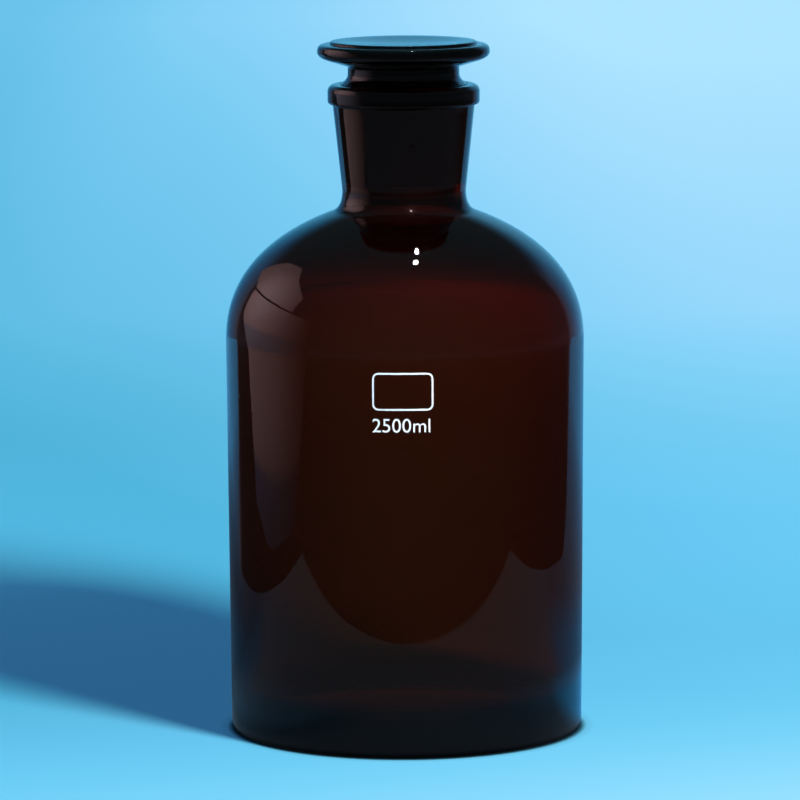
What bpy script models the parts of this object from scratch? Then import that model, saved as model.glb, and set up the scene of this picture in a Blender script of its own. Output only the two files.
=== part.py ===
"""Amber glass reagent bottle for 2500 ml, with its ground glass stopper.

The bottle is one blown piece: a round foot with a shallow push-up, a straight wall, a domed
shoulder and a narrow neck. The neck ends in a beaded rim and is ground inside to a taper.
The stopper is one pressed piece: a flat dished head, a waist and a hollow tapered plug, ground
on the outside, that drops into the neck and lifts straight out. White enamel is fired onto the
front of the wall, as a write-on panel and a capacity mark.

Metres, +Z up. The origin is the middle of the foot, on the surface that the bottle stands on,
and the enamel faces -Y.
"""

import math

import bmesh
import bpy
from mathutils import Vector
from mathutils.geometry import interpolate_bezier

# Facets around every round piece, and the gap left between pieces that touch.
FACETS = 56
GAP = 0.0003

# Bottle, outside.
BODY_RADIUS = 0.0725
FOOT_RADIUS = 0.0714
HEEL_HEIGHT = 0.0042
BEARING_RADIUS = 0.0565
PUSH_UP = 0.004
SHOULDER_START = 0.1597
SHOULDER_TOP_RADIUS = 0.0293
SHOULDER_TOP_HEIGHT = 0.2113
SHOULDER_TOP_SLOPE = math.radians(20.6)
NECK_FOOT_RADIUS = 0.0250
NECK_FOOT_HEIGHT = 0.2201
NECK_TOP_RADIUS = 0.0286
RIM_RADIUS = 0.0307
RIM_HEIGHT = 0.2627
RIM_DEPTH = 0.008

# Bottle, inside.
WALL = 0.0035
BASE_THICKNESS = 0.0055
INNER_HEEL = 0.013

# The ground taper that the neck and the plug share: its radius at the rim, how much the radius
# falls for each metre down, and how deep the grinding goes.
TAPER_RADIUS = 0.0256
TAPER = 0.1
GROUND_DEPTH = 0.040
MOUTH_CHAMFER = 0.0006

# Stopper.
HEAD_RADIUS = 0.0348
HEAD_HEIGHT = 0.0131
HEAD_EDGE = 0.0063
CROWN_RADIUS = 0.0298
CROWN_HEIGHT = 0.0174
CROWN_LAND = 0.0040
DISH_DEPTH = 0.0012
WAIST_RADIUS = 0.0225
WAIST_LOW = 0.0042
WAIST_HIGH = 0.0066
PLUG_DEPTH = 0.048
PLUG_END_RADIUS = 0.003
HOLLOW_RADIUS = 0.0170
HOLLOW_DEPTH = 0.040
HOLLOW_DRAFT = 0.03

# Enamel on the front of the wall.
ENAMEL = 0.0004
PANEL_SIZE = (0.024, 0.015)
PANEL_HEIGHT = 0.1475
PANEL_CORNER = 0.0025
PANEL_LINE = 0.0009
MARK_OFFSET = -0.0010
MARK_HEIGHT = 0.1341
FIGURE_SIZE = 0.0078
# Each raised figure of the capacity mark, 2500 ml, and its middle across the mark.
CAPACITY_FIGURES = (
    ("capacity_2", "2", -0.0105),
    ("capacity_5", "5", -0.0065),
    ("capacity_0_left", "0", -0.0025),
    ("capacity_0_right", "0", 0.0015),
    ("capacity_m", "m", 0.0066),
    ("capacity_l", "l", 0.0105),
)


def clear_scene():
    for obj in list(bpy.data.objects):
        bpy.data.objects.remove(obj)


def material(name, colour, roughness, transmission=0.0):
    made = bpy.data.materials.new(name)
    made.use_nodes = True
    shader = made.node_tree.nodes["Principled BSDF"]
    shader.inputs["Base Color"].default_value = (*colour, 1.0)
    shader.inputs["Roughness"].default_value = roughness
    shader.inputs["Metallic"].default_value = 0.0
    shader.inputs["Transmission Weight"].default_value = transmission
    made.diffuse_color = (*colour, 1.0)
    return made


def curve(start, handle_1, handle_2, end, steps):
    """A cubic Bezier stretch of an outline, as (radius, height) pairs."""
    knots = [Vector((*pair, 0.0)) for pair in (start, handle_1, handle_2, end)]
    return [(point.x, point.y) for point in interpolate_bezier(*knots, steps + 1)]


def arc(centre, radius, start, end, steps, squash=1.0):
    """A round stretch of an outline, from one angle in degrees to another."""
    angles = [math.radians(start + (end - start) * step / steps) for step in range(steps + 1)]
    return [
        (centre[0] + radius * math.cos(angle), centre[1] + squash * radius * math.sin(angle))
        for angle in angles
    ]


def turned(name, outline, finish):
    """A solid of revolution. The outline runs from the axis back to the axis."""
    shape = bmesh.new()
    points = [shape.verts.new((radius, 0.0, height)) for radius, height in outline]
    edges = [shape.edges.new(pair) for pair in zip(points, points[1:])]
    bmesh.ops.spin(
        shape,
        geom=points + edges,
        cent=(0.0, 0.0, 0.0),
        axis=(0.0, 0.0, 1.0),
        angle=2.0 * math.pi,
        steps=FACETS,
        use_merge=True,
    )
    bmesh.ops.remove_doubles(shape, verts=shape.verts, dist=1e-6)
    bmesh.ops.recalc_face_normals(shape, faces=shape.faces)
    mesh = bpy.data.meshes.new(name)
    shape.to_mesh(mesh)
    shape.free()
    return place(name, mesh, finish)


def place(name, mesh, finish):
    mesh.materials.append(finish)
    mesh.shade_smooth()
    mesh.set_sharp_from_angle(angle=math.radians(35.0))
    obj = bpy.data.objects.new(name, mesh)
    bpy.context.collection.objects.link(obj)
    return obj


def taper_radius(depth):
    """Radius of the ground taper at a depth below the rim."""
    return TAPER_RADIUS - TAPER * depth


def slope_handle(point, slope, reach):
    """A Bezier handle down a slope, on the side away from the axis."""
    return (point[0] + reach * math.cos(slope), point[1] - reach * math.sin(slope))


def bottle_outside():
    wall_top = (BODY_RADIUS, SHOULDER_START)
    shoulder_top = (SHOULDER_TOP_RADIUS, SHOULDER_TOP_HEIGHT)
    neck_foot = (NECK_FOOT_RADIUS, NECK_FOOT_HEIGHT)
    bead_low = RIM_HEIGHT - RIM_DEPTH
    heel = 0.6 * HEEL_HEIGHT

    outline = curve((0.0, PUSH_UP), (0.03, PUSH_UP), (0.045, 0.0), (BEARING_RADIUS, 0.0), 5)
    outline += arc((FOOT_RADIUS - heel, HEEL_HEIGHT), heel, -90, 0, 4, HEEL_HEIGHT / heel)
    outline += curve(
        wall_top,
        (BODY_RADIUS, SHOULDER_START + 0.0254),
        slope_handle(shoulder_top, SHOULDER_TOP_SLOPE, 0.0281),
        shoulder_top,
        12,
    )
    outline += curve(
        shoulder_top,
        slope_handle(shoulder_top, SHOULDER_TOP_SLOPE, -0.0032),
        (NECK_FOOT_RADIUS, NECK_FOOT_HEIGHT - 0.0048),
        neck_foot,
        5,
    )[1:]
    outline.append((NECK_TOP_RADIUS, bead_low))
    outline += arc((RIM_RADIUS - 0.0014, bead_low + 0.0014), 0.0014, -90, 0, 3)
    outline += arc((RIM_RADIUS - 0.0029, RIM_HEIGHT - 0.0029), 0.0029, 0, 90, 4)
    return outline


def bottle_inside():
    """The inner surface, from the mouth down to the middle of the floor."""
    socket_end = (taper_radius(GROUND_DEPTH), RIM_HEIGHT - GROUND_DEPTH)
    neck_end = (taper_radius(GROUND_DEPTH), RIM_HEIGHT - GROUND_DEPTH - 0.006)
    inner_slope = (SHOULDER_TOP_RADIUS - 0.0005, SHOULDER_TOP_HEIGHT - WALL - 0.0024)
    wall_top = (BODY_RADIUS - WALL, SHOULDER_START - 0.001)
    heel_top = (FOOT_RADIUS - WALL, PUSH_UP + BASE_THICKNESS + INNER_HEEL)
    floor_edge = (FOOT_RADIUS - WALL - INNER_HEEL, PUSH_UP + BASE_THICKNESS)

    outline = [(TAPER_RADIUS + MOUTH_CHAMFER, RIM_HEIGHT)]
    outline.append((taper_radius(MOUTH_CHAMFER), RIM_HEIGHT - MOUTH_CHAMFER))
    outline.append(socket_end)
    outline += curve(
        neck_end,
        (neck_end[0], neck_end[1] - 0.0065),
        slope_handle(inner_slope, SHOULDER_TOP_SLOPE, -0.0045),
        inner_slope,
        4,
    )
    outline += curve(
        inner_slope,
        slope_handle(inner_slope, SHOULDER_TOP_SLOPE, 0.0265),
        (wall_top[0], wall_top[1] + 0.0245),
        wall_top,
        9,
    )[1:]
    outline += arc((floor_edge[0], heel_top[1]), INNER_HEEL, 0, -90, 5)
    outline.append((0.0, floor_edge[1]))
    return outline


def stopper_outside():
    """The head from the middle of its dished top, the waist and the plug, down to its end."""
    crown = RIM_HEIGHT + CROWN_HEIGHT
    head_middle = RIM_HEIGHT + HEAD_HEIGHT
    head_top = head_middle + 0.5 * HEAD_EDGE
    head_low = head_middle - 0.5 * HEAD_EDGE
    land = CROWN_RADIUS - CROWN_LAND
    plug_top = taper_radius(0.0) - GAP
    plug_low = RIM_HEIGHT - PLUG_DEPTH
    plug_low_radius = taper_radius(PLUG_DEPTH) - GAP
    end = PLUG_END_RADIUS

    outline = curve(
        (0.0, crown - DISH_DEPTH), (0.6 * land, crown - DISH_DEPTH), (0.85 * land, crown),
        (land, crown), 5,
    )
    outline += arc((CROWN_RADIUS - 0.0011, crown - 0.0011), 0.0011, 90, 0, 2)
    outline.append((CROWN_RADIUS + 0.0004, head_top))
    outline += curve(
        (CROWN_RADIUS + 0.0012, head_top),
        (HEAD_RADIUS - 0.0004, head_top),
        (HEAD_RADIUS, head_middle + 0.0018),
        (HEAD_RADIUS, head_middle),
        4,
    )
    outline += curve(
        (HEAD_RADIUS, head_middle),
        (HEAD_RADIUS, head_middle - 0.0019),
        (HEAD_RADIUS - 0.0020, head_low + 0.0004),
        (CROWN_RADIUS + 0.0003, head_low - 0.0004),
        4,
    )[1:]
    outline += curve(
        (WAIST_RADIUS + 0.0020, RIM_HEIGHT + WAIST_HIGH + 0.0012),
        (WAIST_RADIUS + 0.0007, RIM_HEIGHT + WAIST_HIGH + 0.0009),
        (WAIST_RADIUS, RIM_HEIGHT + WAIST_HIGH + 0.0006),
        (WAIST_RADIUS, RIM_HEIGHT + WAIST_HIGH),
        3,
    )
    outline += curve(
        (WAIST_RADIUS, RIM_HEIGHT + WAIST_LOW),
        (WAIST_RADIUS, RIM_HEIGHT + 0.0022),
        (plug_top - 0.0014, RIM_HEIGHT + 0.0012),
        (plug_top, RIM_HEIGHT),
        5,
    )
    outline.append((taper_radius(GROUND_DEPTH) - GAP, RIM_HEIGHT - GROUND_DEPTH))
    outline += curve(
        (plug_low_radius + 0.5 * TAPER * end, plug_low + end),
        (plug_low_radius, plug_low + 0.4 * end),
        (plug_low_radius - 0.4 * end, plug_low),
        (plug_low_radius - 0.75 * end, plug_low),
        4,
    )
    return outline


def stopper_inside():
    """The hollow of the plug, from its open end up to its domed top."""
    plug_low = RIM_HEIGHT - PLUG_DEPTH
    top_radius = HOLLOW_RADIUS - HOLLOW_DRAFT * (HOLLOW_DEPTH - HOLLOW_RADIUS)
    dome_start = plug_low + HOLLOW_DEPTH - top_radius

    outline = arc((HOLLOW_RADIUS + 0.0010, plug_low + 0.0010), 0.0010, -90, -180, 2)
    outline += arc((0.0, dome_start), top_radius, 0, 90, 6)
    outline[-1] = (0.0, outline[-1][1])
    return outline


def wrapped(mesh, height):
    """Bends a flat drawing in X and Y round the front of the wall, centred at a height."""
    wall_slope = (BODY_RADIUS - FOOT_RADIUS) / (SHOULDER_START - HEEL_HEIGHT)
    for vertex in mesh.vertices:
        across, up, out = vertex.co
        level = height + up
        radius = FOOT_RADIUS + wall_slope * (level - HEEL_HEIGHT) + GAP + out
        turn = (across + MARK_OFFSET) / BODY_RADIUS
        vertex.co = (radius * math.sin(turn), -radius * math.cos(turn), level)
    return mesh


def panel_outline(half_width, half_height, corner):
    """A rounded rectangle, with its long sides cut up so that they can be bent."""
    points = []
    for x_sign, y_sign, start in ((1, 1, 0), (-1, 1, 90), (-1, -1, 180), (1, -1, 270)):
        centre = (x_sign * (half_width - corner), y_sign * (half_height - corner))
        points += arc(centre, corner, start, start + 90, 4)
        if start in (0, 180):
            run = 2.0 * (half_width - corner)
            points += [(centre[0] - x_sign * run * step / 6, y_sign * half_height) for step in range(1, 6)]
    return points


def marking_panel(finish):
    half_width, half_height = (0.5 * side for side in PANEL_SIZE)
    outer = panel_outline(half_width, half_height, PANEL_CORNER)
    inner = panel_outline(
        half_width - PANEL_LINE, half_height - PANEL_LINE, PANEL_CORNER - PANEL_LINE
    )
    shape = bmesh.new()
    rings = [
        [shape.verts.new((x, y, level)) for x, y in ring]
        for ring, level in ((outer, 0.0), (outer, ENAMEL), (inner, ENAMEL), (inner, 0.0))
    ]
    for ring, following in zip(rings, rings[1:] + rings[:1]):
        for index in range(len(ring)):
            after = (index + 1) % len(ring)
            shape.faces.new((ring[index], ring[after], following[after], following[index]))
    bmesh.ops.recalc_face_normals(shape, faces=shape.faces)
    mesh = bpy.data.meshes.new("marking_panel")
    shape.to_mesh(mesh)
    shape.free()
    return place("marking_panel", wrapped(mesh, PANEL_HEIGHT), finish)


def capacity_figure(name, character, across, finish):
    text = bpy.data.curves.new(name, "FONT")
    text.body = character
    text.size = FIGURE_SIZE
    text.align_x = "CENTER"
    text.resolution_u = 2
    text.extrude = 0.5 * ENAMEL
    drawing = bpy.data.objects.new(name, text)
    bpy.context.collection.objects.link(drawing)
    shape = bmesh.new()
    shape.from_mesh(bpy.data.meshes.new_from_object(drawing))
    bpy.data.objects.remove(drawing)
    bmesh.ops.remove_doubles(shape, verts=shape.verts, dist=1e-6)
    bmesh.ops.translate(shape, verts=shape.verts, vec=(across, -0.35 * FIGURE_SIZE, 0.5 * ENAMEL))
    bmesh.ops.recalc_face_normals(shape, faces=shape.faces)
    mesh = bpy.data.meshes.new(name)
    shape.to_mesh(mesh)
    shape.free()
    return place(name, wrapped(mesh, MARK_HEIGHT), finish)


def build():
    clear_scene()
    amber = material("amber_glass", (0.16, 0.045, 0.008), 0.05, transmission=1.0)
    ground_amber = material("stopper_glass", (0.15, 0.042, 0.010), 0.12, transmission=1.0)
    enamel = material("white_enamel", (0.85, 0.85, 0.82), 0.45)

    turned("bottle", bottle_outside() + bottle_inside(), amber)
    turned("stopper", stopper_outside() + stopper_inside(), ground_amber)
    marking_panel(enamel)
    for name, character, across in CAPACITY_FIGURES:
        capacity_figure(name, character, across, enamel)


build()
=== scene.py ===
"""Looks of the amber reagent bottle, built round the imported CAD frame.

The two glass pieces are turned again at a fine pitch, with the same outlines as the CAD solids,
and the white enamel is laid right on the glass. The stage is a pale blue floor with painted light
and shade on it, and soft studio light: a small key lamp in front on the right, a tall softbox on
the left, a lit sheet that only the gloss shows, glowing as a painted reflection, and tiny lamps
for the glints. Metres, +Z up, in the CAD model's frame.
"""

import math

import bmesh
import bpy
from mathutils import Matrix, Vector
from mathutils.geometry import interpolate_bezier


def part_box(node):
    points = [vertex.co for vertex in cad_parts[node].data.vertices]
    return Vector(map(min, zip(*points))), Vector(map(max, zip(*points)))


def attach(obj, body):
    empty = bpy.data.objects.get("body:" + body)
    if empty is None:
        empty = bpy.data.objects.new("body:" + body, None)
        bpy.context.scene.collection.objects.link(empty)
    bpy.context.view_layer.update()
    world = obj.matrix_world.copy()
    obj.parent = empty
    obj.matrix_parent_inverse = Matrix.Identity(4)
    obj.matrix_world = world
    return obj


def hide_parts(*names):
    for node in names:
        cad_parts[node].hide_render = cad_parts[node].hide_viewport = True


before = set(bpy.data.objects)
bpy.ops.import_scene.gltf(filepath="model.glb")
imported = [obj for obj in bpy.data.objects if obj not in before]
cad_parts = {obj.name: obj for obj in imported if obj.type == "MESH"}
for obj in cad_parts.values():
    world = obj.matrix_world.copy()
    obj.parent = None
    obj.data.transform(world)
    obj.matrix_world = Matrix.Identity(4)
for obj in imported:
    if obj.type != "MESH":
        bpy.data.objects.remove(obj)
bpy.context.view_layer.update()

FACETS = 256

# Sizes read from the frame.
BOTTLE_LOW, BOTTLE_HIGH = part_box("bottle")
STOPPER_LOW, STOPPER_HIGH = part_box("stopper")
BODY_RADIUS = BOTTLE_HIGH[0]
RIM_HEIGHT = BOTTLE_HIGH[2]
HEAD_RADIUS = STOPPER_HIGH[0]
CROWN_TOP = STOPPER_HIGH[2]
PLUG_LOW = STOPPER_LOW[2]

# Bottle outline, as in the CAD model.
FOOT_RADIUS = 0.0714
HEEL_HEIGHT = 0.0042
BEARING_RADIUS = 0.0565
PUSH_UP = 0.004
SHOULDER_START = 0.1597
SHOULDER_TOP = (0.0293, 0.2113)
SHOULDER_SLOPE = math.radians(20.6)
NECK_FOOT = (0.0250, 0.2201)
NECK_TOP_RADIUS = 0.0286
RIM_RADIUS = 0.0307
RIM_DEPTH = 0.008
WALL = 0.0035
FLOOR_HEIGHT = 0.0095
INNER_HEEL = 0.013
TAPER_RADIUS = 0.0256
TAPER = 0.1
GROUND_DEPTH = 0.040
MOUTH_CHAMFER = 0.0006

# Stopper outline, as in the CAD model. The plug keeps a hair of clearance in the ground neck.
GAP = 0.0002
HEAD_MIDDLE = RIM_HEIGHT + 0.0131
HEAD_EDGE = 0.0063
CROWN_RADIUS = 0.0298
CROWN_LAND = 0.0040
DISH_DEPTH = 0.0012
WAIST_RADIUS = 0.0225
WAIST_LOW = 0.0042
WAIST_HIGH = 0.0066
PLUG_END_RADIUS = 0.003
HOLLOW_RADIUS = 0.0170
HOLLOW_DEPTH = 0.040
HOLLOW_DRAFT = 0.03

# Enamel: a film sunk a little into the glass so that no edge floats.
FILM_UNDER = 0.00006
FILM_OVER = 0.00008
FIGURE_SIZE = 0.0078
FIGURES = {
    "capacity_2": "2",
    "capacity_5": "5",
    "capacity_0_left": "0",
    "capacity_0_right": "0",
    "capacity_m": "m",
    "capacity_l": "l",
}
PANEL_CORNER = 0.0025
PANEL_LINE = 0.0007


# ---------------------------------------------------------------- outlines

def curve(start, handle_1, handle_2, end, steps):
    """A cubic Bezier stretch of an outline, as (radius, height) pairs."""
    knots = [Vector((*pair, 0.0)) for pair in (start, handle_1, handle_2, end)]
    return [(point.x, point.y) for point in interpolate_bezier(*knots, steps + 1)]


def arc(centre, radius, start, end, steps, squash=1.0):
    """A round stretch of an outline, from one angle in degrees to another."""
    angles = [math.radians(start + (end - start) * step / steps) for step in range(steps + 1)]
    return [
        (centre[0] + radius * math.cos(angle), centre[1] + squash * radius * math.sin(angle))
        for angle in angles
    ]


def line(start, end, steps):
    return [
        (start[0] + (end[0] - start[0]) * step / steps, start[1] + (end[1] - start[1]) * step / steps)
        for step in range(steps + 1)
    ]


def taper_radius(depth):
    return TAPER_RADIUS - TAPER * depth


def slope_handle(point, reach):
    return (point[0] + reach * math.cos(SHOULDER_SLOPE), point[1] - reach * math.sin(SHOULDER_SLOPE))


def bottle_outline():
    bead_low = RIM_HEIGHT - RIM_DEPTH
    heel = 0.6 * HEEL_HEIGHT
    wall_top = (BODY_RADIUS, SHOULDER_START)

    outside = curve((0.0, PUSH_UP), (0.03, PUSH_UP), (0.045, 0.0), (BEARING_RADIUS, 0.0), 24)
    outside += arc((FOOT_RADIUS - heel, HEEL_HEIGHT), heel, -90, 0, 12, HEEL_HEIGHT / heel)
    outside += line((FOOT_RADIUS, HEEL_HEIGHT), wall_top, 24)[1:]
    outside += curve(
        wall_top,
        (BODY_RADIUS, SHOULDER_START + 0.0254),
        slope_handle(SHOULDER_TOP, 0.0281),
        SHOULDER_TOP,
        60,
    )[1:]
    outside += curve(
        SHOULDER_TOP,
        slope_handle(SHOULDER_TOP, -0.0032),
        (NECK_FOOT[0], NECK_FOOT[1] - 0.0048),
        NECK_FOOT,
        20,
    )[1:]
    outside += line(NECK_FOOT, (NECK_TOP_RADIUS, bead_low - 0.0005), 12)[1:]
    outside += arc((NECK_TOP_RADIUS + 0.0005, bead_low - 0.0005), 0.0005, 180, 90, 5)[1:]
    outside += arc((RIM_RADIUS - 0.0014, bead_low + 0.0014), 0.0014, -90, 0, 10)
    outside += arc((RIM_RADIUS - 0.0029, RIM_HEIGHT - 0.0029), 0.0029, 0, 90, 16)

    socket_end = (taper_radius(GROUND_DEPTH), RIM_HEIGHT - GROUND_DEPTH)
    neck_end = (socket_end[0], socket_end[1] - 0.006)
    inner_top = (SHOULDER_TOP[0] - 0.0005, SHOULDER_TOP[1] - WALL - 0.0024)
    inner_wall = (BODY_RADIUS - WALL, SHOULDER_START - 0.001)
    heel_top = (FOOT_RADIUS - WALL, FLOOR_HEIGHT + INNER_HEEL)
    chamfer = (taper_radius(MOUTH_CHAMFER), RIM_HEIGHT - MOUTH_CHAMFER)

    inside = curve(
        (TAPER_RADIUS + MOUTH_CHAMFER, RIM_HEIGHT), (TAPER_RADIUS + 0.0003, RIM_HEIGHT),
        (chamfer[0], RIM_HEIGHT - 0.0003), chamfer, 5,
    )
    inside += line(chamfer, socket_end, 30)[1:]
    inside += curve(
        neck_end, (neck_end[0], neck_end[1] - 0.0065), slope_handle(inner_top, -0.0045), inner_top, 20
    )
    inside += curve(
        inner_top,
        slope_handle(inner_top, 0.0265),
        (inner_wall[0], inner_wall[1] + 0.0245),
        inner_wall,
        48,
    )[1:]
    inside += line(inner_wall, heel_top, 24)[1:]
    inside += arc((heel_top[0] - INNER_HEEL, heel_top[1]), INNER_HEEL, 0, -90, 20)[1:]
    inside += line((heel_top[0] - INNER_HEEL, FLOOR_HEIGHT), (0.0, FLOOR_HEIGHT), 12)[1:]
    return outside + inside


def stopper_outline():
    head_top = HEAD_MIDDLE + 0.5 * HEAD_EDGE
    head_low = HEAD_MIDDLE - 0.5 * HEAD_EDGE
    land = CROWN_RADIUS - CROWN_LAND
    plug_top = taper_radius(0.0) - GAP
    plug_low_radius = taper_radius(RIM_HEIGHT - PLUG_LOW) - GAP
    end = PLUG_END_RADIUS
    waist_top = RIM_HEIGHT + WAIST_HIGH

    outline = curve(
        (0.0, CROWN_TOP - DISH_DEPTH), (0.6 * land, CROWN_TOP - DISH_DEPTH),
        (0.85 * land, CROWN_TOP), (land, CROWN_TOP), 24,
    )
    outline += arc((CROWN_RADIUS - 0.0011, CROWN_TOP - 0.0011), 0.0011, 90, 0, 8)
    outline += curve(
        (CROWN_RADIUS, head_top + 0.0003), (CROWN_RADIUS, head_top + 0.0001),
        (CROWN_RADIUS + 0.0002, head_top), (CROWN_RADIUS + 0.0005, head_top), 4,
    )
    outline += curve(
        (CROWN_RADIUS + 0.0012, head_top), (HEAD_RADIUS - 0.0004, head_top),
        (HEAD_RADIUS, HEAD_MIDDLE + 0.0018), (HEAD_RADIUS, HEAD_MIDDLE), 16,
    )
    outline += curve(
        (HEAD_RADIUS, HEAD_MIDDLE), (HEAD_RADIUS, HEAD_MIDDLE - 0.0019),
        (HEAD_RADIUS - 0.0020, head_low + 0.0004), (CROWN_RADIUS + 0.0003, head_low - 0.0004), 16,
    )[1:]
    outline += curve(
        (WAIST_RADIUS + 0.0020, waist_top + 0.0012), (WAIST_RADIUS + 0.0007, waist_top + 0.0009),
        (WAIST_RADIUS, waist_top + 0.0006), (WAIST_RADIUS, waist_top), 8,
    )
    outline += curve(
        (WAIST_RADIUS, RIM_HEIGHT + WAIST_LOW), (WAIST_RADIUS, RIM_HEIGHT + 0.0022),
        (plug_top - 0.0014, RIM_HEIGHT + 0.0012), (plug_top, RIM_HEIGHT), 16,
    )
    ground_end = (taper_radius(GROUND_DEPTH) - GAP, RIM_HEIGHT - GROUND_DEPTH)
    outline += line((plug_top, RIM_HEIGHT), ground_end, 30)[1:]
    round_start = (plug_low_radius + 0.5 * TAPER * end, PLUG_LOW + end)
    outline += line(ground_end, round_start, 16)[1:]
    outline += curve(
        round_start, (plug_low_radius, PLUG_LOW + 0.4 * end),
        (plug_low_radius - 0.4 * end, PLUG_LOW), (plug_low_radius - 0.75 * end, PLUG_LOW), 12,
    )[1:]

    top_radius = HOLLOW_RADIUS - HOLLOW_DRAFT * (HOLLOW_DEPTH - HOLLOW_RADIUS)
    dome_start = PLUG_LOW + HOLLOW_DEPTH - top_radius
    outline += arc((HOLLOW_RADIUS + 0.0010, PLUG_LOW + 0.0010), 0.0010, -90, -180, 6)
    outline += line((HOLLOW_RADIUS, PLUG_LOW + 0.0010), (top_radius, dome_start), 16)[1:]
    outline += arc((0.0, dome_start), top_radius, 0, 90, 20)[1:]
    outline[-1] = (0.0, outline[-1][1])
    return outline


# ---------------------------------------------------------------- shapes

def turned(name, outline, finish):
    """A solid of revolution from an outline that starts and ends on the axis."""
    shape = bmesh.new()
    rings = []
    for radius, height in outline:
        if radius < 1e-7:
            rings.append([shape.verts.new((0.0, 0.0, height))] * FACETS)
            continue
        angles = [2.0 * math.pi * index / FACETS for index in range(FACETS)]
        rings.append([
            shape.verts.new((radius * math.cos(angle), radius * math.sin(angle), height))
            for angle in angles
        ])
    for ring, following in zip(rings, rings[1:]):
        for index in range(FACETS):
            after = (index + 1) % FACETS
            corners = (ring[index], ring[after], following[after], following[index])
            shape.faces.new(list(dict.fromkeys(corners)))
    bmesh.ops.recalc_face_normals(shape, faces=shape.faces)
    mesh = bpy.data.meshes.new(name)
    shape.to_mesh(mesh)
    shape.free()
    mesh.shade_smooth()
    mesh.set_sharp_from_angle(angle=math.radians(40.0))
    return piece(name, mesh, finish)


def piece(name, mesh, finish):
    mesh.materials.append(finish)
    obj = bpy.data.objects.new(name, mesh)
    bpy.context.collection.objects.link(obj)
    return obj


def wrapped(mesh, height):
    """Bends a flat drawing in X and Y round the front of the wall, centred at a height."""
    wall_slope = (BODY_RADIUS - FOOT_RADIUS) / (SHOULDER_START - HEEL_HEIGHT)
    for vertex in mesh.vertices:
        across, up, out = vertex.co
        level = height + up
        radius = FOOT_RADIUS + wall_slope * (level - HEEL_HEIGHT) + out
        turn = across / BODY_RADIUS
        vertex.co = (radius * math.sin(turn), -radius * math.cos(turn), level)


def film(name, shape, height, finish):
    """Finishes a flat bmesh drawing of thickness FILM_UNDER + FILM_OVER as enamel on the wall."""
    bmesh.ops.recalc_face_normals(shape, faces=shape.faces)
    mesh = bpy.data.meshes.new(name)
    shape.to_mesh(mesh)
    shape.free()
    wrapped(mesh, height)
    mesh.shade_smooth()
    mesh.set_sharp_from_angle(angle=math.radians(30.0))
    return piece(name, mesh, finish)


def centre_of(node):
    low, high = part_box(node)
    across = math.atan2(0.5 * (low[0] + high[0]), BODY_RADIUS) * BODY_RADIUS
    return across, 0.5 * (low[2] + high[2]), high[2] - low[2]


def enamel_figure(node, character, finish):
    across, height, tall = centre_of(node)
    text = bpy.data.curves.new(node, "FONT")
    text.body = character
    text.size = FIGURE_SIZE
    text.align_x = "CENTER"
    text.resolution_u = 10
    text.extrude = 0.5 * (FILM_UNDER + FILM_OVER)
    drawing = bpy.data.objects.new(node, text)
    bpy.context.collection.objects.link(drawing)
    shape = bmesh.new()
    shape.from_mesh(bpy.data.meshes.new_from_object(drawing))
    bpy.data.objects.remove(drawing)
    bmesh.ops.remove_doubles(shape, verts=shape.verts, dist=1e-6)
    lows = [min(vertex.co[axis] for vertex in shape.verts) for axis in (0, 1)]
    highs = [max(vertex.co[axis] for vertex in shape.verts) for axis in (0, 1)]
    shift = (
        across - 0.5 * (lows[0] + highs[0]),
        -0.5 * (lows[1] + highs[1]),
        0.5 * (FILM_OVER - FILM_UNDER),
    )
    bmesh.ops.translate(shape, verts=shape.verts, vec=shift)
    return film(node + "_enamel", shape, height, finish)


def panel_outline(half_width, half_height, corner):
    """A rounded rectangle, with its long sides cut up so that they can be bent."""
    points = []
    for x_sign, y_sign, start in ((1, 1, 0), (-1, 1, 90), (-1, -1, 180), (1, -1, 270)):
        centre = (x_sign * (half_width - corner), y_sign * (half_height - corner))
        points += arc(centre, corner, start, start + 90, 10)
        if start in (0, 180):
            run = 2.0 * (half_width - corner)
            points += [
                (centre[0] - x_sign * run * step / 24, y_sign * half_height) for step in range(1, 24)
            ]
    return points


def enamel_panel(finish):
    low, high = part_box("marking_panel")
    height = 0.5 * (low[2] + high[2])
    half_height = 0.5 * (high[2] - low[2])
    half_width = math.asin(0.5 * (high[0] - low[0]) / BODY_RADIUS) * BODY_RADIUS
    across = centre_of("marking_panel")[0]
    outer = panel_outline(half_width, half_height, PANEL_CORNER)
    inner = panel_outline(half_width - PANEL_LINE, half_height - PANEL_LINE, PANEL_CORNER - PANEL_LINE)
    shape = bmesh.new()
    levels = ((outer, -FILM_UNDER), (outer, FILM_OVER), (inner, FILM_OVER), (inner, -FILM_UNDER))
    rings = [[shape.verts.new((x + across, y, level)) for x, y in ring] for ring, level in levels]
    for ring, following in zip(rings, rings[1:] + rings[:1]):
        for index in range(len(ring)):
            after = (index + 1) % len(ring)
            shape.faces.new((ring[index], ring[after], following[after], following[index]))
    return film("marking_panel_enamel", shape, height, finish)


# ---------------------------------------------------------------- node helpers

def node(tree, kind, x, y, **settings):
    made = tree.nodes.new(kind)
    made.location = (x, y)
    for name, value in settings.items():
        setattr(made, name, value)
    return made


def feed(tree, socket, value):
    """Links a socket to another's output, or sets it to a plain number or vector."""
    if isinstance(value, bpy.types.NodeSocket):
        tree.links.new(value, socket)
    else:
        socket.default_value = value


def calc(tree, operation, first, second, x, y, clamp=False):
    made = node(tree, "ShaderNodeMath", x, y, operation=operation, use_clamp=clamp)
    feed(tree, made.inputs[0], first)
    feed(tree, made.inputs[1], second)
    return made.outputs["Value"]


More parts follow.
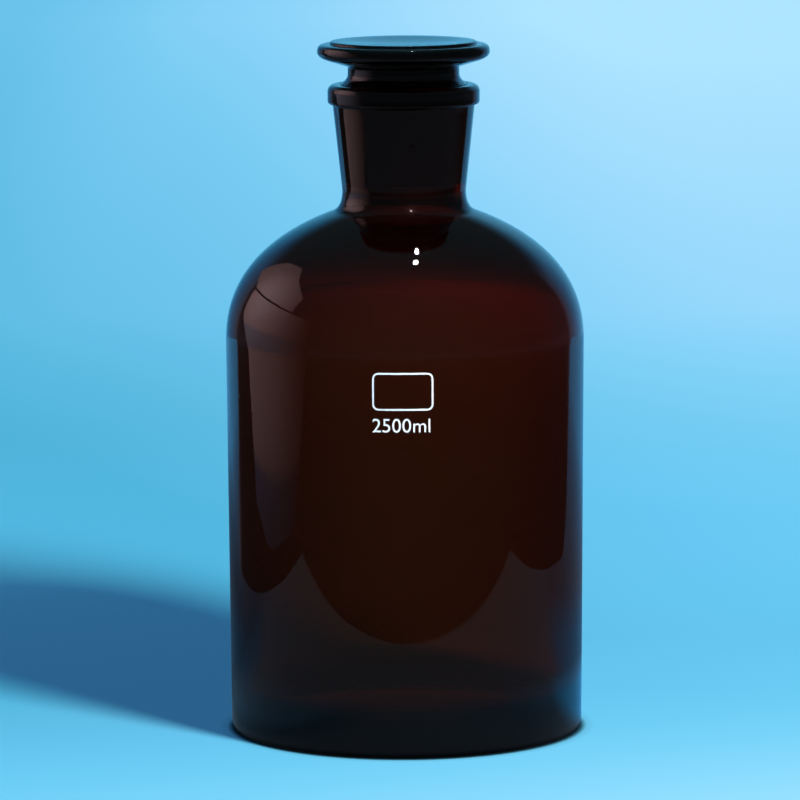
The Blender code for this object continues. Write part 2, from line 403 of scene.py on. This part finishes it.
def vector(tree, operation, first, second, x, y):
    made = node(tree, "ShaderNodeVectorMath", x, y, operation=operation)
    feed(tree, made.inputs[0], first)
    if operation == "SCALE":
        feed(tree, made.inputs["Scale"], second)
    elif second is not None:
        feed(tree, made.inputs[1], second)
    return made.outputs["Value" if operation in ("LENGTH", "DISTANCE") else "Vector"]


def spread(tree, source, low, high, x, y, low_to=0.0, high_to=1.0, smooth=False):
    """Maps low..high of a value to another range, and holds it at the ends."""
    kind = "SMOOTHSTEP" if smooth else "LINEAR"
    made = node(tree, "ShaderNodeMapRange", x, y, interpolation_type=kind)
    made.inputs["From Min"].default_value = low
    made.inputs["From Max"].default_value = high
    made.inputs["To Min"].default_value = low_to
    made.inputs["To Max"].default_value = high_to
    tree.links.new(source, made.inputs["Value"])
    return made.outputs["Result"]


def fade(tree, source, low, high, x, y):
    """1 below low and 0 above high, with a soft change between them."""
    return spread(tree, source, low, high, x, y, 1.0, 0.0, smooth=True)


def ramp(tree, source, stops, x, y):
    """A colour ramp: stops are (position, colour or grey), with positions from 0 to 1."""
    made = node(tree, "ShaderNodeValToRGB", x, y)
    for _ in range(len(stops) - 2):
        made.color_ramp.elements.new(0.5)
    for element, (position, colour) in zip(made.color_ramp.elements, stops):
        shade = (colour,) * 3 if isinstance(colour, float) else colour
        element.position = position
        element.color = (*shade, 1.0)
    tree.links.new(source, made.inputs["Fac"])
    return made.outputs["Color"]


def graded(tree, source, stops, x, y):
    """A colour ramp whose stops are given in the source's own units."""
    low, high = stops[0][0], stops[-1][0]
    share = spread(tree, source, low, high, x - 200, y)
    return ramp(tree, share, [((at - low) / (high - low), colour) for at, colour in stops], x, y)


def blend(tree, share, first, second, x, y, kind="RGBA"):
    """Goes from the first value to the second as the share goes from 0 to 1."""
    made = node(tree, "ShaderNodeMix", x, y, data_type=kind)
    feed(tree, made.inputs["Factor"], share)
    feed(tree, made.inputs["A"], first)
    feed(tree, made.inputs["B"], second)
    return made.outputs["Result"]


def position(tree, x, y, kind="Object"):
    """The point's position, and its X, Y and Z."""
    where = node(tree, "ShaderNodeTexCoord", x, y).outputs[kind]
    split = node(tree, "ShaderNodeSeparateXYZ", x + 200, y)
    tree.links.new(where, split.inputs["Vector"])
    return where, split.outputs["X"], split.outputs["Y"], split.outputs["Z"]


# ---------------------------------------------------------------- materials

# How much light each metre of the amber glass takes out of red, green and blue.
AMBER_DENSITY = 1000.0
AMBER_TAKEN = (0.283, 0.690, 0.920)
GLASS_IOR = 1.52
GROUND_ROUGHNESS = 0.45
GRIT_SPREAD = 0.08


def glass(name, ground_low_radius, ground_high_radius):
    """Amber glass, with a finely ground surface between two radii along the neck's taper."""
    made = bpy.data.materials.new(name)
    made.use_nodes = True
    tree = made.node_tree
    shader = tree.nodes["Principled BSDF"]
    shader.inputs["Base Color"].default_value = (1.0, 1.0, 1.0, 1.0)
    shader.inputs["Transmission Weight"].default_value = 1.0
    shader.inputs["IOR"].default_value = GLASS_IOR
    volume = node(tree, "ShaderNodeVolumeAbsorption", 0, -500)
    volume.inputs["Color"].default_value = (*(1.0 - share for share in AMBER_TAKEN), 1.0)
    volume.inputs["Density"].default_value = AMBER_DENSITY
    tree.links.new(volume.outputs["Volume"], tree.nodes["Material Output"].inputs["Volume"])

    where, x_at, y_at, height = position(tree, -1700, 0)
    x_squared = calc(tree, "MULTIPLY", x_at, x_at, -1300, 200)
    y_squared = calc(tree, "MULTIPLY", y_at, y_at, -1300, 50)
    radius = calc(tree, "SQRT", calc(tree, "ADD", x_squared, y_squared, -1150, 150), 0.0, -1000, 150)
    depth = calc(tree, "SUBTRACT", RIM_HEIGHT, height, -1300, -150)
    at_rim = calc(tree, "ADD", radius, calc(tree, "MULTIPLY", depth, TAPER, -1150, -150), -1000, 0)
    above = calc(tree, "GREATER_THAN", at_rim, ground_low_radius, -850, 100)
    below = calc(tree, "LESS_THAN", at_rim, ground_high_radius, -850, -50)
    deep = spread(tree, depth, GROUND_DEPTH, GROUND_DEPTH - 0.0012, -1000, -200)
    shallow = spread(tree, depth, 0.0002, 0.0010, -1000, -400)
    on_cone = calc(tree, "MULTIPLY", above, below, -700, 50)
    along_cone = calc(tree, "MULTIPLY", deep, shallow, -850, -300)
    ground = calc(tree, "MULTIPLY", on_cone, along_cone, -550, 0)

    handled = node(tree, "ShaderNodeTexNoise", -850, 500)
    handled.inputs["Scale"].default_value = 35.0
    handled.inputs["Detail"].default_value = 6.0
    feed(tree, handled.inputs["Vector"], where)
    smudge = spread(tree, handled.outputs["Fac"], 0.45, 0.75, -650, 500, 0.012, 0.05)
    grit = node(tree, "ShaderNodeTexNoise", -850, 750)
    grit.inputs["Scale"].default_value = 2500.0
    feed(tree, grit.inputs["Vector"], where)
    matt = spread(
        tree, grit.outputs["Fac"], 0.3, 0.7, -650, 750,
        GROUND_ROUGHNESS - GRIT_SPREAD, GROUND_ROUGHNESS + GRIT_SPREAD,
    )
    rough = blend(tree, ground, smudge, matt, -350, 450, "FLOAT")
    feed(tree, shader.inputs["Roughness"], rough)

    # Blown glass is never quite true: long soft waves round the body, and a few small seeds.
    waves = node(tree, "ShaderNodeTexNoise", -650, -500)
    waves.inputs["Scale"].default_value = 22.0
    waves.inputs["Detail"].default_value = 1.5
    feed(tree, waves.inputs["Vector"], where)
    swell = node(tree, "ShaderNodeBump", -250, -400)
    swell.inputs["Distance"].default_value = 0.00012
    feed(tree, swell.inputs["Height"], waves.outputs["Fac"])
    seeds = node(tree, "ShaderNodeTexVoronoi", -650, -750)
    seeds.inputs["Scale"].default_value = 85.0
    feed(tree, seeds.inputs["Vector"], where)
    seed = fade(tree, seeds.outputs["Distance"], 0.0, 0.055, -450, -750)
    pips = node(tree, "ShaderNodeBump", -50, -400)
    pips.inputs["Distance"].default_value = 0.00006
    feed(tree, pips.inputs["Height"], seed)
    feed(tree, pips.inputs["Normal"], swell.outputs["Normal"])
    feed(tree, shader.inputs["Normal"], pips.outputs["Normal"])
    return made


def enamel():
    """Screen-printed white enamel: slightly uneven in cover and in gloss."""
    made = bpy.data.materials.new("white_enamel")
    made.use_nodes = True
    tree = made.node_tree
    shader = tree.nodes["Principled BSDF"]
    where = position(tree, -1000, 0)[0]
    cover = node(tree, "ShaderNodeTexNoise", -600, 100)
    cover.inputs["Scale"].default_value = 900.0
    cover.inputs["Detail"].default_value = 4.0
    feed(tree, cover.inputs["Vector"], where)
    tint = graded(
        tree, cover.outputs["Fac"], ((0.3, (0.62, 0.62, 0.64)), (0.5, (0.74, 0.75, 0.78))), -300, 100
    )
    feed(tree, shader.inputs["Base Color"], tint)
    rough = spread(tree, cover.outputs["Fac"], 0.3, 0.7, -300, -200, 0.35, 0.55)
    feed(tree, shader.inputs["Roughness"], rough)
    bump = node(tree, "ShaderNodeBump", -200, -400)
    bump.inputs["Distance"].default_value = 0.00001
    feed(tree, bump.inputs["Height"], cover.outputs["Fac"])
    feed(tree, shader.inputs["Normal"], bump.outputs["Normal"])
    return made


# ---------------------------------------------------------------- object

def build_object():
    bottle = turned(
        "bottle_glass",
        bottle_outline(),
        glass("amber_glass", TAPER_RADIUS - 0.0006, TAPER_RADIUS + 0.0004),
    )
    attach(bottle, "bottle")
    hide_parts("bottle")

    stopper = turned(
        "stopper_glass",
        stopper_outline(),
        glass("stopper_amber_glass", TAPER_RADIUS - 0.0050, TAPER_RADIUS + 0.0010),
    )
    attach(stopper, "stopper")
    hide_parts("stopper")

    white = enamel()
    films = {"marking_panel": enamel_panel(white)}
    for name, character in FIGURES.items():
        films[name] = enamel_figure(name, character, white)
    for name, made in films.items():
        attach(made, "bottle")
        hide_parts(name)


# ---------------------------------------------------------------- stage

CAMERA_DISTANCE = 2.292
CAMERA_HEIGHT = 0.457
CAMERA_AIM = (-0.0021, 0.0, 0.1341)
CAMERA_LENS = 256.6
CAMERA_ROLL = math.radians(-0.3)

# The key light: a small round lamp in front on the right, and the colour of the shadow it leaves,
# which the floor glows with everywhere as painted fill.
KEY_SIDE = math.radians(35.0)
KEY_RISE = math.radians(33.0)
KEY_REACH = 0.70
KEY_AIM_HEIGHT = 0.1
KEY_RADIUS = 0.08
KEY_WATTS = 31.0
KEY_AT = Vector((
    KEY_REACH * math.cos(KEY_RISE) * math.sin(KEY_SIDE),
    -KEY_REACH * math.cos(KEY_RISE) * math.cos(KEY_SIDE),
    KEY_AIM_HEIGHT + KEY_REACH * math.sin(KEY_RISE),
))
UMBRA = (0.021, 0.106, 0.238)

FLOOR_REACH = 40.0

# The lit sheet that the bottle mirrors, glowing as a painted reflection. Its front edge is bowed
# towards the back at both ends, and its sides are given as points along the floor. A painted
# shadow of the bottle takes the last share of it.
SHEET_HALF_WIDTH = 0.47
SHEET_FRONT = -0.306
SHEET_BOW = 0.46
SHEET_BACK = 1.3
SHEET_RIGHT = ((0.44, 0.10), (0.42, 0.20), (0.51, 0.32), (0.64, 0.45), (1.40, SHEET_BACK))
SHEET_LEFT = ((-1.30, SHEET_BACK), (-0.60, 0.55), (-0.42, 0.40), (-0.33, 0.27), (-0.36, 0.12))
SHADOW_SHARE = 0.5

# The soft panel on the left, with its two cloths as outlines in Y and Z.
PANEL_SIDE = -1.0
PANEL_MIDDLE = (0.40, 0.62)
LOWER_CLOTH = (
    (-0.50, 0.555), (-0.50, 0.02), (-0.30, -0.08), (0.12, -0.088), (0.36, -0.07), (0.50, 0.0),
    (0.62, 0.15), (0.85, 0.30), (0.90, 0.595),
)
UPPER_CLOTH = (
    (-0.14, 0.59), (0.90, 0.62), (1.38, 0.80), (1.10, 1.08), (0.96, 1.20), (0.54, 1.33),
    (0.27, 1.12), (0.03, 0.98), (-0.14, 0.88),
)

# Where the mirrored backdrop begins on each side, as the share of a level direction that points
# straight back, and the dim light that fills the shadows.
BACKDROP_FROM_LEFT = 0.72
BACKDROP_FROM_RIGHT = 0.64
FILL = (0.020, 0.022, 0.026)

# Name, centre, half width, half depth and strength of each lamp for the glints.
GLINTS = (
    ("overhead_glint_lamp", (0.100, 0.000, 1.390), 0.022, 0.045, 120.0),
    ("neck_glint_lamp", (0.0075, -0.0420, 0.235), 0.0010, 0.0026, 1200.0),
)


def add_camera():
    data = bpy.data.cameras.new("camera")
    data.lens = CAMERA_LENS
    data.sensor_width = 36.0
    camera = bpy.data.objects.new("camera", data)
    bpy.context.collection.objects.link(camera)
    camera.location = (CAMERA_AIM[0], -CAMERA_DISTANCE, CAMERA_HEIGHT)
    towards = Vector(CAMERA_AIM) - camera.location
    facing = towards.to_track_quat("-Z", "Y").to_matrix().to_4x4()
    camera.rotation_euler = (facing @ Matrix.Rotation(CAMERA_ROLL, 4, "Z")).to_euler()
    bpy.context.scene.camera = camera


def stage_plane(name, corners, finish):
    mesh = bpy.data.meshes.new(name)
    mesh.from_pydata(corners, [], [tuple(range(len(corners)))])
    obj = piece(name, mesh, finish)
    return obj


def reflection_only(obj):
    obj.visible_camera = False
    obj.visible_diffuse = False
    obj.visible_transmission = False
    obj.visible_shadow = False
    obj.visible_volume_scatter = False


def glowing(name):
    """A material that only gives light. Returns it with its tree and its emission node."""
    made = bpy.data.materials.new(name)
    made.use_nodes = True
    tree = made.node_tree
    tree.nodes.remove(tree.nodes["Principled BSDF"])
    glow = node(tree, "ShaderNodeEmission", 0, 0)
    tree.links.new(glow.outputs["Emission"], tree.nodes["Material Output"].inputs["Surface"])
    return made, tree, glow


def floor_material():
    """A pale blue sheet. Its colour makes up for the key light's fall-off, and painted light is laid
    over it instead: brighter in front and far back than in the middle, and brighter on the right than
    on the left. It glows with the shadow's colour everywhere as painted fill, and away from the bottle
    it glows a little more, as a lit backdrop does."""
    made = bpy.data.materials.new("pale_floor")
    made.use_nodes = True
    tree = made.node_tree
    tree.nodes.remove(tree.nodes["Principled BSDF"])
    where, across, back, _ = position(tree, -1900, 0)

    # Painted light: the sheet is brighter in front, dimmer in the middle and brighter again far back,
    # brighter on the right and darker on the far left, as the studio's light falls on it.
    centre = graded(
        tree, back,
        ((-0.16, 0.70), (-0.10, 0.655), (-0.02, 0.585), (0.07, 0.525), (0.2, 0.485), (0.55, 0.495),
         (1.35, 0.605), (2.4, 0.655), (3.9, 0.715)),
        -1300, 200,
    )
    side = spread(tree, across, -0.28, 0.28, -1300, -100, -0.085, 0.085, smooth=True)
    edge = spread(tree, across, -0.45, -0.20, -1300, 500, -0.09, 0.0, smooth=True)
    level = calc(tree, "ADD", calc(tree, "ADD", centre, edge, -1100, 300), side, -1000, 100)
    lit = graded(
        tree, level,
        ((0.45, (0.080, 0.45, 0.70)), (0.50, (0.112, 0.50, 0.765)), (0.55, (0.130, 0.55, 0.845)),
         (0.60, (0.150, 0.60, 0.895)), (0.66, (0.195, 0.66, 0.955)), (0.70, (0.240, 0.70, 0.985)),
         (0.78, (0.340, 0.78, 1.0))),
        -600, 100,
    )
    # Painted light: where the sheet is far back and well lit, haze adds a little red, as the bright
    # light shows warmer there.
    far_back = spread(tree, back, 0.3, 1.4, -1300, 800)
    well_lit = spread(tree, level, 0.50, 0.70, -600, 500)
    haze = calc(tree, "MULTIPLY", far_back, well_lit, -400, 600)
    lit = vector(tree, "ADD", lit, vector(tree, "SCALE", (0.085, 0.0, 0.0), haze, -300, 500), -200, 300)
    over = vector(tree, "SUBTRACT", lit, UMBRA, -300, 100)
    from_axis = vector(tree, "LENGTH", where, None, -1300, -300)
    far = spread(tree, from_axis, 0.3, 0.9, -1000, -300, smooth=True)
    near = calc(tree, "SUBTRACT", 1.0, far, -800, -300)
    reach = vector(tree, "DISTANCE", where, tuple(KEY_AT), -1300, -500)
    # A point lamp lights a level sheet by its height over the cube of the distance.
    at_one_metre = KEY_WATTS / (4.0 * math.pi**2) * KEY_AT.z
    cubed = calc(tree, "POWER", reach, 3.0, -1000, -500)
    fall_off = calc(tree, "DIVIDE", cubed, at_one_metre, -800, -500)
    # Painted contact shade: the sheet is painted darker where the heel stands on it.
    painted_heel_shade = graded(
        tree, from_axis,
        ((0.0700, 0.02), (0.0712, 0.10), (0.0722, 0.40), (0.0735, 0.86), (0.077, 1.0)),
        -900, -750,
    )
    evened = calc(tree, "MULTIPLY", near, fall_off, -500, -400)
    albedo = vector(tree, "SCALE", over, calc(tree, "MULTIPLY", evened, painted_heel_shade, -300, -400), -100, 0)
    # Painted fill: the sheet glows with the shadow's colour everywhere, and away from the bottle with
    # its whole lit colour.
    own_light = vector(tree, "ADD", vector(tree, "SCALE", over, far, -100, -200), UMBRA, 100, -200)
    shine = vector(tree, "SCALE", own_light, painted_heel_shade, 200, -300)
    paper = node(tree, "ShaderNodeBsdfDiffuse", 100, 100)
    feed(tree, paper.inputs["Color"], albedo)
    glow = node(tree, "ShaderNodeEmission", 300, -200)
    feed(tree, glow.inputs["Color"], shine)
    both = node(tree, "ShaderNodeAddShader", 500, 0)
    tree.links.new(paper.outputs["BSDF"], both.inputs[0])
    tree.links.new(glow.outputs["Emission"], both.inputs[1])
    tree.links.new(both.outputs["Shader"], tree.nodes["Material Output"].inputs["Surface"])
    return made


def add_floor():
    signs = ((-1, -1), (1, -1), (1, 1), (-1, 1))
    corners = [(x_sign * FLOOR_REACH, y_sign * FLOOR_REACH, 0.0) for x_sign, y_sign in signs]
    floor = stage_plane("floor", corners, floor_material())
    floor.visible_glossy = False


def add_sheet_reflection():
    """A painted reflection: the sheet that the glass mirrors, glowing with its own outline and colours.
    """
    made, tree, glow = glowing("sheet_reflection")
    where, across, back, _ = position(tree, -1700, 0)
    colour = graded(
        tree, back,
        ((-0.30, (0.130, 0.150, 0.165)), (-0.14, (0.135, 0.160, 0.200)), (0.0, (0.130, 0.155, 0.205)),
         (0.10, (0.085, 0.100, 0.150)), (0.20, (0.085, 0.110, 0.170)), (0.32, (0.080, 0.135, 0.225)),
         (0.46, (0.075, 0.175, 0.330)), (0.57, (0.080, 0.240, 0.460)), (0.68, (0.085, 0.350, 0.680)),
         (1.3, (0.095, 0.400, 0.760))),
        -900, 0,
    )
    # Painted shadow: the bottle's own shadow is painted in, dimming the left as far as it reaches.
    from_left = spread(tree, across, -0.44, -0.24, -900, -300, smooth=True)
    to_middle = fade(tree, across, -0.10, 0.02, -900, -450)
    begins = spread(tree, back, 0.0, 0.12, -900, -600, smooth=True)
    ends = fade(tree, back, 0.62, 0.90, -900, -750)
    sideways = calc(tree, "MULTIPLY", from_left, to_middle, -700, -350)
    lengthways = calc(tree, "MULTIPLY", begins, ends, -700, -650)
    shade = calc(tree, "MULTIPLY", sideways, lengthways, -500, -500)
    lost = calc(tree, "MULTIPLY", shade, SHADOW_SHARE, -350, -500)
    strength = calc(tree, "SUBTRACT", 1.0, lost, -200, -500)

    # Painted shade and light close by: dim on the shadow's side and in front, bright on the right,
    # behind.
    reach = vector(tree, "LENGTH", where, None, -1300, -300)
    nearby = fade(tree, reach, 0.24, 0.40, -900, 600)
    beside = calc(
        tree, "MULTIPLY", nearby, spread(tree, back, 0.0, 0.07, -900, 750, smooth=True), -700, 650
    )
    flank = graded(
        tree, across,
        ((-0.12, (0.060, 0.160, 0.290)), (-0.05, (0.072, 0.105, 0.155)), (0.05, (0.075, 0.115, 0.170)),
         (0.12, (0.045, 0.170, 0.340))),
        -600, 800,
    )
    close = fade(tree, reach, 0.13, 0.20, -900, 250)
    foot = graded(
        tree, across,
        ((-0.15, (0.095, 0.175, 0.280)), (-0.11, (0.070, 0.160, 0.260)), (-0.085, (0.050, 0.105, 0.165)),
         (-0.05, (0.095, 0.135, 0.180)), (0.05, (0.115, 0.160, 0.210)), (0.12, (0.085, 0.150, 0.240)),
         (0.17, (0.080, 0.240, 0.440))),
        -600, 400,
    )
    on_right = spread(tree, across, 0.066, 0.075, -900, 950)
    behind = spread(tree, back, -0.018, 0.026, -900, 1100, smooth=True)
    beyond = calc(tree, "MULTIPLY", on_right, behind, -700, 1000)
    corner = calc(tree, "MULTIPLY", beyond, close, -500, 1000)
    colour = blend(tree, beside, colour, flank, -400, 200)
    colour = blend(tree, close, colour, foot, -300, 200)
    colour = blend(tree, corner, colour, (0.070, 0.380, 0.780, 1.0), -200, 200)
    # Painted contact shade: the glow is darker right round the heel.
    painted_contact_shade = graded(tree, reach, ((0.0705, 0.15), (0.0725, 0.60), (0.076, 1.0)), -600, -900)
    feed(tree, glow.inputs["Color"], colour)
    feed(tree, glow.inputs["Strength"], calc(tree, "MULTIPLY", strength, painted_contact_shade, -100, -700))

    steps = [SHEET_HALF_WIDTH * step / 8 for step in range(-8, 9)]
    front = [(x, SHEET_FRONT + SHEET_BOW * x * x, 0.0) for x in steps]
    sides = [(x, y, 0.0) for x, y in SHEET_RIGHT + SHEET_LEFT]
    reflection_only(stage_plane("sheet_reflection", front + sides, made))


def add_softbox():
    """A tall soft panel on the left: two cloths one above the other, with a seam between them."""
    made, tree, glow = glowing("softbox_glow")
    where, _, along, up = position(tree, -1500, 0)
    middle = vector(tree, "DISTANCE", where, (PANEL_SIDE, *PANEL_MIDDLE), -1100, 0)
    pool = graded(
        tree, middle,
        ((0.0, (1.25, 0.88, 0.97)), (0.16, (1.18, 0.80, 0.87)), (0.34, (0.92, 0.58, 0.62)),
         (0.55, (0.58, 0.36, 0.38)), (0.8, (0.42, 0.26, 0.26)), (1.4, (0.24, 0.15, 0.14))),
        -500, 200,
    )
    right = spread(tree, along, -0.60, 0.05, -700, -100, 0.15, 1.0, smooth=True)
    low = spread(tree, up, -0.12, 0.02, -700, -300, 0.35, 1.0, smooth=True)
    # Its lower edge takes up the blue of the sheet, and the band that the neck mirrors is cooler.
    bottom_edge = fade(tree, up, -0.055, -0.040, -700, 500)
    bluish = vector(tree, "MULTIPLY", pool, (0.30, 0.55, 0.85), -400, 500)
    cloth = blend(tree, bottom_edge, pool, bluish, -300, 300)
    above = spread(tree, up, 0.03, 0.06, -700, 650, smooth=True)
    band = calc(tree, "MULTIPLY", above, fade(tree, up, 0.20, 0.26, -700, 800), -500, 700)
    cooler = vector(tree, "MULTIPLY", cloth, (0.58, 0.84, 1.0), -200, 500)
    cloth = blend(tree, band, cloth, cooler, -100, 300)
    feed(tree, glow.inputs["Color"], cloth)
    feed(tree, glow.inputs["Strength"], calc(tree, "MULTIPLY", right, low, -300, -200))
    for name, outline in (("softbox_lower", LOWER_CLOTH), ("softbox_upper", UPPER_CLOTH)):
        reflection_only(stage_plane(name, [(PANEL_SIDE, y, z) for y, z in outline], made))


def add_glints():
    """Small bright lamps high above and by the neck, lit underneath, for the shoulder's glints."""
    for name, place, half_width, half_depth, strength in GLINTS:
        made, tree, glow = glowing(name)
        glow.inputs["Color"].default_value = (1.0, 1.0, 1.0, 1.0)
        facing = node(tree, "ShaderNodeNewGeometry", -500, 0)
        below = spread(tree, facing.outputs["Backfacing"], 0.0, 1.0, -300, 0, 0.0, strength)
        feed(tree, glow.inputs["Strength"], below)
        corners = arc(place, half_width, 0, 345, 23, half_depth / half_width)
        reflection_only(stage_plane(name, [(x, y, place[2]) for x, y in corners], made))


def add_key():
    data = bpy.data.lights.new("key", "POINT")
    data.energy = KEY_WATTS
    data.shadow_soft_size = KEY_RADIUS
    key = bpy.data.objects.new("key", data)
    bpy.context.collection.objects.link(key)
    key.location = KEY_AT
    key.visible_camera = False
    key.visible_glossy = False
    key.visible_transmission = False


def add_world():
    """A pale blue haze for sight, and a dim room for the gloss, with a lit backdrop behind."""
    world = bpy.data.worlds.new("studio")
    bpy.context.scene.world = world
    world.use_nodes = True
    tree = world.node_tree
    path = node(tree, "ShaderNodeLightPath", -500, 700)
    _, x_to, y_to, z_to = position(tree, -1900, 0, "Generated")

    flat = node(tree, "ShaderNodeCombineXYZ", -1500, 200)
    feed(tree, flat.inputs["X"], x_to)
    feed(tree, flat.inputs["Y"], y_to)
    level_way = vector(tree, "NORMALIZE", flat.outputs["Vector"], None, -1300, 200)
    behind = node(tree, "ShaderNodeSeparateXYZ", -1100, 200)
    feed(tree, behind.inputs["Vector"], level_way)
    left = graded(
        tree, behind.outputs["Y"],
        ((0.72, (0.065, 0.050, 0.060)), (0.77, (0.120, 0.160, 0.240)), (0.85, (0.080, 0.190, 0.380)),
         (0.92, (0.055, 0.230, 0.480)), (0.97, (0.055, 0.340, 0.640)), (1.0, (0.110, 0.500, 0.830))),
        -700, 400,
    )
    right = graded(
        tree, behind.outputs["Y"],
        ((0.64, (0.060, 0.050, 0.060)), (0.69, (0.120, 0.160, 0.270)), (0.76, (0.110, 0.240, 0.440)),
         (0.83, (0.095, 0.320, 0.640)), (0.90, (0.110, 0.440, 0.820)), (1.0, (0.150, 0.560, 0.900))),
        -700, 150,
    )
    on_right = spread(tree, behind.outputs["X"], -0.03, 0.03, -700, 600)
    backdrop = blend(tree, on_right, left, right, -400, 300)
    room = graded(
        tree, z_to,
        ((-0.40, (0.064, 0.080, 0.100)), (-0.24, (0.064, 0.078, 0.096)), (-0.20, (0.022, 0.022, 0.024)),
         (-0.145, (0.022, 0.022, 0.024)), (-0.08, (0.040, 0.062, 0.080)), (0.0, (0.034, 0.046, 0.058)),
         (0.50, (0.034, 0.050, 0.062)), (0.85, (0.036, 0.080, 0.095)), (1.0, (0.050, 0.090, 0.105))),
        -700, -300,
    )
    starts = blend(tree, on_right, BACKDROP_FROM_LEFT, BACKDROP_FROM_RIGHT, -700, 800, "FLOAT")
    past = calc(tree, "SUBTRACT", behind.outputs["Y"], starts, -500, 800)
    low = fade(tree, z_to, 0.30, 0.56, -700, -50)
    share = calc(tree, "MULTIPLY", spread(tree, past, -0.03, 0.01, -350, 800), low, -200, 700)
    mirrored = blend(tree, share, room, backdrop, -200, 0)

    # What is seen straight or through the glass: bright round the horizon, dim overhead.
    sight = graded(
        tree, z_to,
        ((-0.02, (0.30, 0.70, 1.0)), (0.06, (0.16, 0.42, 0.62)), (0.25, (0.08, 0.16, 0.23)),
         (0.6, (0.05, 0.07, 0.09))),
        -700, 1000,
    )
    reflected, scattered = path.outputs["Is Reflection Ray"], path.outputs["Is Diffuse Ray"]
    by_glass = calc(tree, "SUBTRACT", reflected, scattered, -200, 500, clamp=True)
    chosen = blend(tree, by_glass, sight, mirrored, 0, 200)
    filled = blend(tree, scattered, chosen, (*FILL, 1.0), 200, 200)
    feed(tree, tree.nodes["Background"].inputs["Color"], filled)


def build_stage():
    add_camera()
    add_floor()
    add_sheet_reflection()
    add_softbox()
    add_glints()
    add_key()
    add_world()
    bpy.context.scene.view_settings.view_transform = "Standard"


build_object()
build_stage()
